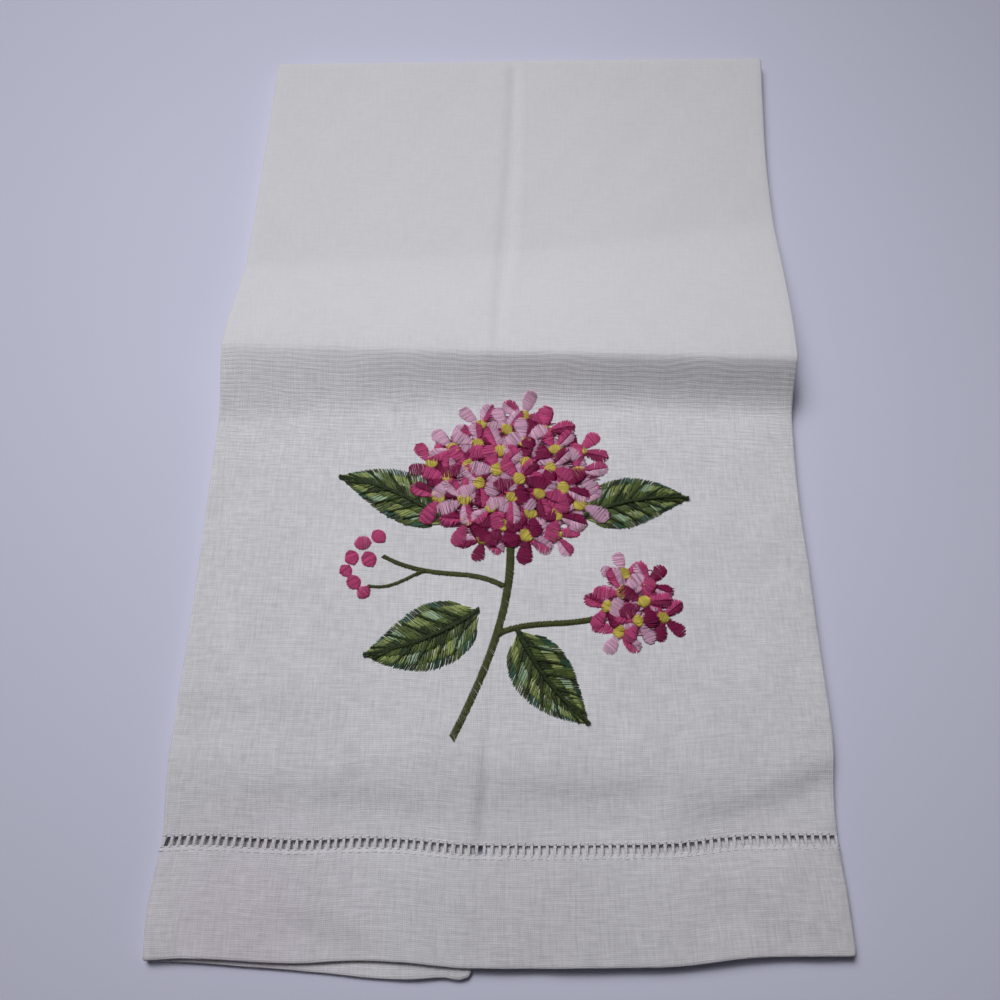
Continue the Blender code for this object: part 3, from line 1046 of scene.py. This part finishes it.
# A leaf's stitches lie in bands from its edge to its middle, each in blocks of several greens.
# VEIN_PARTS is the number of vein distances in its length.
LEAF_BANDS = (
    # share of the half width from, to, colours
    (0.55, 1.0, (LEAF_DARK, LEAF_TEAL, LEAF_MID)),
    (0.22, 0.75, (LEAF_LIGHT, LEAF_MID, LEAF_MINT, LEAF_LIGHT)),
    (0.0, 0.38, (LEAF_MID, LEAF_DARK, LEAF_MID)),
)
LEAF_BELLY = 0.8
LEAF_FULLNESS = 0.85
LEAF_DENSITY = 0.9
LEAF_SLANT = 0.16
LEAF_UNEVENNESS = 0.09
LEAF_BLOCKS = 11
VEINS = 5
VEIN_PARTS = 6.8
VEIN_RUN = 0.2
VEIN_REACH = 0.8

# The flat filling under a head
FILLING_PITCH = 0.5
FILLING_STEP = 6.5
FILLING_STITCH = (6.3, 0.25)

LEAVES = (
    # base x, base y, tip x, tip y, half width, bend
    (-6.0, 90.0, -38.0, 77.0, 9.5, 3.0),
    (-15.0, 116.0, -48.0, 131.0, 8.0, -3.0),
    (5.0, 84.0, 24.0, 58.0, 8.5, -2.5),
    (24.0, 118.0, 56.0, 124.0, 8.0, 3.0),
)
STEMS = (
    # x0, y0, x1, y1, x2, y2, x3, y3, width at start, width at end
    (3.0, 112.0, 4.0, 92.0, -3.0, 74.0, -13.0, 54.0, 2.6, 2.2),
    (-0.5, 83.0, 10.0, 88.0, 20.0, 84.0, 32.0, 89.0, 1.8, 1.8),
    (1.0, 97.0, -9.0, 103.0, -20.0, 98.0, -34.0, 106.0, 1.7, 1.3),
    (-22.0, 101.5, -27.0, 99.5, -31.0, 95.5, -38.0, 97.0, 1.1, 0.9),
)
BUDS = (
    # x, y, radius
    (-40.0, 110.0, 2.4),
    (-35.5, 112.0, 2.2),
    (-43.0, 105.5, 2.2),
    (-38.0, 105.0, 2.4),
    (-42.0, 98.0, 2.2),
    (-44.5, 101.5, 1.9),
    (-39.0, 95.0, 2.0),
)


def left_of(run):
    """Directions a quarter turn to the left of others."""
    return np.stack([-run[..., 1], run[..., 0]], -1)


class Stitches:
    """Stitches laid on the cloth one over another. A grid keeps how high the threads are piled."""

    def __init__(self):
        cells = (int(POSY_SIZE[0] / PILE_CELL), int(POSY_SIZE[1] / PILE_CELL))
        self.pile = np.zeros(cells)
        self.groups = {}

    def cells(self, x, y):
        column = np.clip(((x - POSY_LOW[0]) / PILE_CELL).astype(int), 0, self.pile.shape[0] - 1)
        row = np.clip(((y - POSY_LOW[1]) / PILE_CELL).astype(int), 0, self.pile.shape[1] - 1)
        return column, row

    def lay(self, group, starts, ends, colour, radius=THREAD_RADIUS, ragged=0.12, puff=0.1):
        """One satin patch: a thread from each start to its end, over whatever lies there."""
        starts, ends = np.array(starts, float), np.array(ends, float)
        count = len(starts)
        ends = ends + rng.normal(0.0, ragged, ends.shape)
        starts = starts + rng.normal(0.0, ragged * 0.5, starts.shape)
        path = starts[:, None] + (ends - starts)[:, None] * STITCH_STATIONS[:, None]
        dense = starts[:, None] + (ends - starts)[:, None] * np.linspace(0, 1, 12)[:, None]
        cells = self.cells(dense[..., 0], dense[..., 1])
        under = self.pile[cells]
        spot = under.max(axis=1)[:, None] * 0.5 + under.mean() * 0.5
        base = (self.pile[self.cells(path[..., 0], path[..., 1])] + spot) / 2 * PILE_SHARE
        rise = STITCH_ARCH * radius + puff * STITCH_PUFF
        lift = base + rise + rng.normal(0.0, 0.015, (count, 1))
        top = (lift.max(axis=1) + radius * 0.35)[:, None] + 0 * under
        np.maximum.at(self.pile, cells, top)
        # Painted sheen: each stitch randomly lighter or darker
        shades = np.asarray(colour) * rng.uniform(*STITCH_PAINTED_SHEEN, (count, 1))
        kept = self.groups.setdefault(group, ([], [], [], []))
        for store, values in zip(kept, (path, lift, np.full(count, radius), shades)):
            store.append(values)

    def piece(self, group, name, material):
        paths, lifts, radii, colours = (np.concatenate(part) for part in self.groups[group])
        points, outs = on_cloth(paths[..., 0], paths[..., 1], lifts)
        return thread_piece(name, points, outs, radii[:, None], colours, 3, material)


def petal(stitches, group, centre, angle, length, width, colours):
    """A rounded petal. One colour is a row of stitches slanting from edge to edge, and two are
    two rows that meet on its middle line."""
    along = np.array([math.cos(angle), math.sin(angle)])
    side = left_of(along)
    count = int(length / THREAD_PITCH)
    t = (np.arange(count) + 0.5) / count

    def edge(reach, sign):
        blunt = np.sqrt(np.clip(1 - reach**PETAL_TIP, 0.015, 1))
        half = width * reach**PETAL_SWELL * blunt * PETAL_FULLNESS
        out = length * (PETAL_ROOT + (1 - PETAL_ROOT) * reach)
        return centre + along * out[:, None] + side * (sign * half)[:, None]

    if colours[0] is colours[1]:
        before, after = np.maximum(t - PETAL_SLANT, 0.02), np.minimum(t + PETAL_SLANT, 1.0)
        stitches.lay(group, edge(before, -1), edge(after, 1), colours[0], ragged=0.10, puff=0.08)
        return
    inner = centre + along * (length * (0.12 + 0.86 * t))[:, None]
    for sign, colour in zip((-1, 1), colours):
        outer = edge(np.minimum(t + 2 * PETAL_SLANT, 1.0), sign)
        stitches.lay(group, inner - side * (sign * 0.1), outer, colour, ragged=0.10, puff=0.05)


def knot(stitches, group, centre, radius, colour):
    """A small raised disc of straight stitches."""
    count = int(2 * radius / THREAD_PITCH) + 1
    offsets = np.linspace(-radius, radius, count)
    half = np.sqrt(np.clip(radius**2 - offsets**2, 0.25, None))
    turn = rng.uniform(0, math.pi)
    across = np.array([math.cos(turn), math.sin(turn)])
    along = left_of(across)
    middle = np.array(centre) + across * offsets[:, None]
    stitches.lay(group, middle - along * half[:, None], middle + along * half[:, None], colour,
                 ragged=0.06, puff=0.28)


def blossom(stitches, group, centre, radius, tones):
    """Five rounded petals and a yellow middle."""
    turn = rng.uniform(0, math.tau)
    for number in (0, 2, 4, 1, 3):
        angle = turn + number * math.tau / 5 + rng.normal(0.0, 0.09)
        length = radius * rng.uniform(0.9, 1.08)
        halves = (tones[number % len(tones)], tones[(number + number % 2) % len(tones)])
        petal(stitches, group, np.array(centre), angle, length, radius * PETAL_WIDTH, halves)
    knot(stitches, group, centre, radius * EYE, YELLOW)


def underlay(stitches, group, shape, colour):
    """Flat filling under a head, so that no cloth shows between its blossoms."""
    x, y, half_x, half_y = shape
    for row in np.arange(-half_y, half_y, FILLING_PITCH):
        reach = half_x * math.sqrt(max(0.0, 1 - (row / half_y) ** 2))
        cuts = np.arange(-reach + rng.uniform(0, 3), reach - 4, FILLING_STEP)
        if len(cuts):
            starts = np.column_stack([x + cuts, np.full(len(cuts), y + row)])
            stitches.lay(group, starts, starts + FILLING_STITCH, colour, puff=0.0)


def head(stitches, groups, shape, count, inner_count, radius):
    """A rounded head of blossoms, the outer ones laid first and the middle ones over them.
    groups names the outer and the inner blossoms' piece."""
    x, y, half_x, half_y = shape
    for number in reversed(range(count)):
        out = math.sqrt((number + 0.4) / count)
        turn = number * GOLDEN_TURN
        spot = (x + half_x * out * math.cos(turn), y + half_y * out * math.sin(turn))
        size = radius * rng.uniform(0.9, 1.06)
        group = groups[0] if number >= inner_count else groups[1]
        blossom(stitches, group, spot, size, BLOSSOM_TONES[(number * 2) % len(BLOSSOM_TONES)])


def bezier(points, t):
    """Points on a curve with four control points, and its directions."""
    p0, p1, p2, p3 = (np.array(p)[None] for p in points)
    t = np.asarray(t)[:, None]
    spot = (1 - t) ** 3 * p0 + 3 * (1 - t) ** 2 * t * p1 + 3 * (1 - t) * t**2 * p2 + t**3 * p3
    run = 3 * (1 - t) ** 2 * (p1 - p0) + 6 * (1 - t) * t * (p2 - p1) + 3 * t**2 * (p3 - p2)
    return spot, run / np.linalg.norm(run, axis=1, keepdims=True)


def satin_line(stitches, group, points, width_start, width_end, colour, puff=0.2):
    """A line of slanting satin stitches across a curve."""
    rough = np.linalg.norm(np.diff(np.array(points), axis=0), axis=1).sum()
    count = max(4, int(rough / THREAD_PITCH))
    t = np.linspace(0, 1, count)
    spot, run = bezier(points, t)
    side = left_of(run)
    half = (width_start + (width_end - width_start) * t)[:, None] / 2
    slant = run * half * 0.5
    stitches.lay(group, spot - side * half - slant, spot + side * half + slant, colour,
                 ragged=0.07, puff=puff)


def leaf_width(share):
    """A leaf's width at a share of its length, as a share of its greatest."""
    return np.sin(math.pi * share**LEAF_BELLY) ** LEAF_FULLNESS


def leaf(stitches, base_x, base_y, tip_x, tip_y, half_width, bend):
    """A pointed oval leaf: long and short stitches in shaded greens, with dark veins on them."""
    base, tip = np.array([base_x, base_y]), np.array([tip_x, tip_y])
    run = tip - base
    length = np.linalg.norm(run)
    side_way = left_of(run) / length
    spine = [base, base + run * 0.33 + side_way * bend, base + run * 0.66 + side_way * bend, tip]
    count = int(length / (THREAD_PITCH * LEAF_DENSITY))
    t = (np.arange(count) + 0.5) / count
    for sign in (-1, 1):
        for start, end, colours in LEAF_BANDS:
            ahead = np.minimum(t + LEAF_SLANT * end, 1.0)
            behind = np.minimum(t + LEAF_SLANT * start, 1.0)
            spot_out, run_out = bezier(spine, ahead)
            spot_in, run_in = bezier(spine, behind)
            side_out, side_in = left_of(run_out) * sign, left_of(run_in) * sign
            width = half_width * leaf_width(np.minimum(ahead, 0.985))
            long_short = rng.uniform(-LEAF_UNEVENNESS, LEAF_UNEVENNESS, count)
            inner = spot_in + side_in * (width * np.clip(start + long_short, 0, 1))[:, None]
            outer = spot_out + side_out * (width * np.clip(end + long_short * 0.3, 0, 1.02))[:, None]
            blocks = np.floor(t * LEAF_BLOCKS + 0.5 * sign).astype(int)
            for choice, colour in enumerate(colours):
                chosen = blocks % len(colours) == choice
                if chosen.any():
                    stitches.lay("leaves", inner[chosen], outer[chosen], colour, ragged=0.07, puff=0.03)
        for vein in range(1, VEINS + 1):
            t0 = vein / VEIN_PARTS
            t1 = min(t0 + VEIN_RUN, 0.97)
            (start_spot,), _ = bezier(spine, [t0])
            (end_mid,), (end_run,) = bezier(spine, [t1])
            width = half_width * leaf_width(t1) * VEIN_REACH
            end_spot = end_mid + left_of(end_run) * sign * width
            middle = (start_spot + end_spot) / 2
            satin_line(stitches, "leaves", [start_spot, middle - end_run * 0.5, middle, end_spot],
                       0.95, 0.6, LEAF_DARK, puff=0.1)
    satin_line(stitches, "leaves", spine, 1.5, 0.8, LEAF_DARK, puff=0.12)


def build_embroidery(material):
    """The posy, laid in order from the stems up. Returns its pieces."""
    stitches = Stitches()
    for x0, y0, x1, y1, x2, y2, x3, y3, start, end in STEMS:
        satin_line(stitches, "stems", [(x0, y0), (x1, y1), (x2, y2), (x3, y3)], start, end, STEM_OLIVE)
    for row in LEAVES:
        leaf(stitches, *row)
    for x, y, radius in BUDS:
        knot(stitches, "side_blossoms", (x, y), radius, MID_PINK)
    sides = ("side_blossoms", "side_blossoms")
    underlay(stitches, "side_blossoms", SIDE_HEAD, DEEP_PINK)
    head(stitches, sides, SIDE_HEAD, SIDE_BLOSSOMS, 0, BLOSSOM_RADIUS * SIDE_BLOSSOM_SHARE)
    middles = ("outer_blossoms", "inner_blossoms")
    underlay(stitches, "outer_blossoms", MAIN_HEAD, DEEP_PINK)
    head(stitches, middles, MAIN_HEAD, MAIN_BLOSSOMS, MAIN_BLOSSOMS - OUTER_BLOSSOMS, BLOSSOM_RADIUS)
    return [stitches.piece(group, f"embroidered_{group}", material) for group in stitches.groups]


# The room: a pale lilac table top, soft light from above and behind on the left, and the camera
TABLE = linear(224, 226, 244)
CAMERA_PLACE = (-0.003369, -0.132519, 0.267129)
CAMERA_TILT = math.radians(22.358)
CAMERA_LENS = 34.2
CAMERA_SENSOR = 36.0
WINDOW_PLACE = (-0.27, 0.36, 0.9)
WINDOW_AIM = (0.0, 0.02, 0.0)
WINDOW_SIZE = 0.6
WINDOW_POWER = 5.0
WINDOW_COLOUR = (0.965, 0.96, 1.0)
LAMP_PLACE = (-0.22, 0.40, 0.90)
LAMP_AIM = (0.0, -0.002, 0.0)
LAMP_RADIUS = 0.2
LAMP_HALF_ANGLE = math.radians(12)
LAMP_POWER = 20.6
SKY_COLOUR = (1.0, 0.95, 0.97)
SKY_STRENGTH = 0.025


def build_table():
    """A plain, faintly grained table top."""
    shade = Shading("pale_table_top", 0.7)
    spot = shade.add("ShaderNodeTexCoord").outputs["Object"]
    grain = shade.noise(spot, (900.0, 900.0, 900.0), detail=2.0)
    cloudy = shade.noise(spot, (9.0, 9.0, 9.0), detail=3.0)
    bright = shade.math("MULTIPLY_ADD", grain, 0.02, 0.975)
    bright = shade.math("MULTIPLY_ADD", cloudy, 0.03, bright)
    shade.set(shade.shader.inputs["Base Color"], shade.tinted(tuple(TABLE), bright))
    shade.shader.inputs["Specular IOR Level"].default_value = 0.15
    mesh = bpy.data.meshes.new("table_top")
    half = 1.5
    mesh.from_pydata([(-half, -half, 0), (half, -half, 0), (half, half, 0), (-half, half, 0)], [],
                     [(0, 1, 2, 3)])
    mesh.materials.append(shade.material)
    table = bpy.data.objects.new("table_top", mesh)
    bpy.context.scene.collection.objects.link(table)


def add_light(name, kind, power, spot, target):
    """A light at a spot, turned towards a target."""
    light = bpy.data.lights.new(name, kind)
    light.energy = power
    light.color = WINDOW_COLOUR
    holder = bpy.data.objects.new(name, light)
    holder.location = spot
    way = np.array(target) - np.array(spot)
    flat = math.hypot(way[0], way[1])
    holder.rotation_euler = (math.atan2(flat, -way[2]), 0.0, math.atan2(-way[0], way[1]))
    bpy.context.scene.collection.objects.link(holder)
    return light


def build_room():
    """The table, the lights and the camera."""
    build_table()
    window = add_light("window", "AREA", WINDOW_POWER, WINDOW_PLACE, WINDOW_AIM)
    window.size = WINDOW_SIZE
    lamp = add_light("lamp", "SPOT", LAMP_POWER, LAMP_PLACE, LAMP_AIM)
    lamp.shadow_soft_size = LAMP_RADIUS
    lamp.spot_size = 2 * LAMP_HALF_ANGLE
    lamp.spot_blend = 1.0

    world = bpy.data.worlds.new("sky")
    world.use_nodes = True
    sky = world.node_tree.nodes["Background"]
    sky.inputs["Color"].default_value = (*SKY_COLOUR, 1.0)
    sky.inputs["Strength"].default_value = SKY_STRENGTH
    bpy.context.scene.world = world

    camera = bpy.data.cameras.new("camera")
    camera.lens = CAMERA_LENS
    camera.sensor_width = CAMERA_SENSOR
    camera.clip_start = 0.01
    holder = bpy.data.objects.new("camera", camera)
    holder.location = CAMERA_PLACE
    holder.rotation_euler = (CAMERA_TILT, 0.0, 0.0)
    bpy.context.scene.collection.objects.link(holder)
    bpy.context.scene.camera = holder
    bpy.context.scene.view_settings.view_transform = "Standard"


build_room()
towel = build_cloth(linen_material())
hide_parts("towel")
sewing = build_hemstitch(thread_material("sewing_thread_twist", 0.7, 0.2, 0.4))
embroidery = build_embroidery(thread_material("embroidery_thread_twist", 0.42, 0.05, 0.6))
for piece in (towel, sewing, *embroidery):
    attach(piece, "root")
